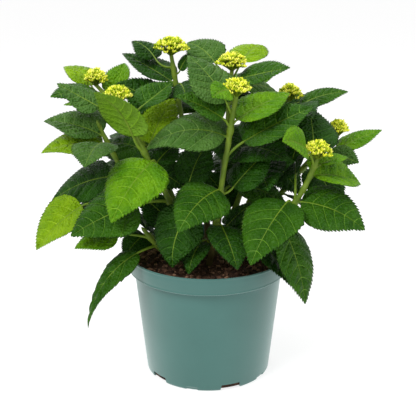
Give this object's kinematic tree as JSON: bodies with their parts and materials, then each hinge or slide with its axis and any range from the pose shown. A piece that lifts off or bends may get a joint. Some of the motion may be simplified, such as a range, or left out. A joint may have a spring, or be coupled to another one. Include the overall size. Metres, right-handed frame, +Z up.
{
  "type": "potted hydrangea shrub",
  "caption": "Leafy hydrangea shrub with flat clusters of small flower buds at its shoot ends, growing in a plain round plastic pot.",
  "frame": {"origin": "centre of the pot's flat underside, on the ground", "axes": "+Z up, -Y towards the side the shrub faces, +X to that side's right, along the widest spread"},
  "size_m": [0.4929, 0.3743, 0.4698],
  "materials": {
    "pot": "smooth satin",
    "soil": "coarse and matte",
    "stem": "green, ribbed, satin",
    "foliage": "satin leaves"
  },
  "bodies": {
    "root": {"pot": "pot", "soil": "soil", "stem-left": "stem", "foliage-left": "foliage", "stem-front": "stem", "foliage-front": "foliage", "stem-front-right": "stem", "foliage-front-right": "foliage", "stem-low": "stem", "foliage-low": "foliage", "stem-low-left": "stem", "foliage-low-left": "foliage", "stem-flank": "stem", "foliage-flank": "foliage", "stem-top": "stem", "foliage-top": "foliage", "stem-crown": "stem", "foliage-crown": "foliage", "stem-back-left": "stem", "foliage-back-left": "foliage", "stem-back-right": "stem", "foliage-back-right": "foliage", "stem-right": "stem", "foliage-right": "foliage", "stem-rear-right": "stem", "foliage-rear-right": "foliage", "stem-rear": "stem", "foliage-rear": "foliage", "stem-rear-left": "stem", "foliage-rear-left": "foliage"}
  },
  "joints": []
}
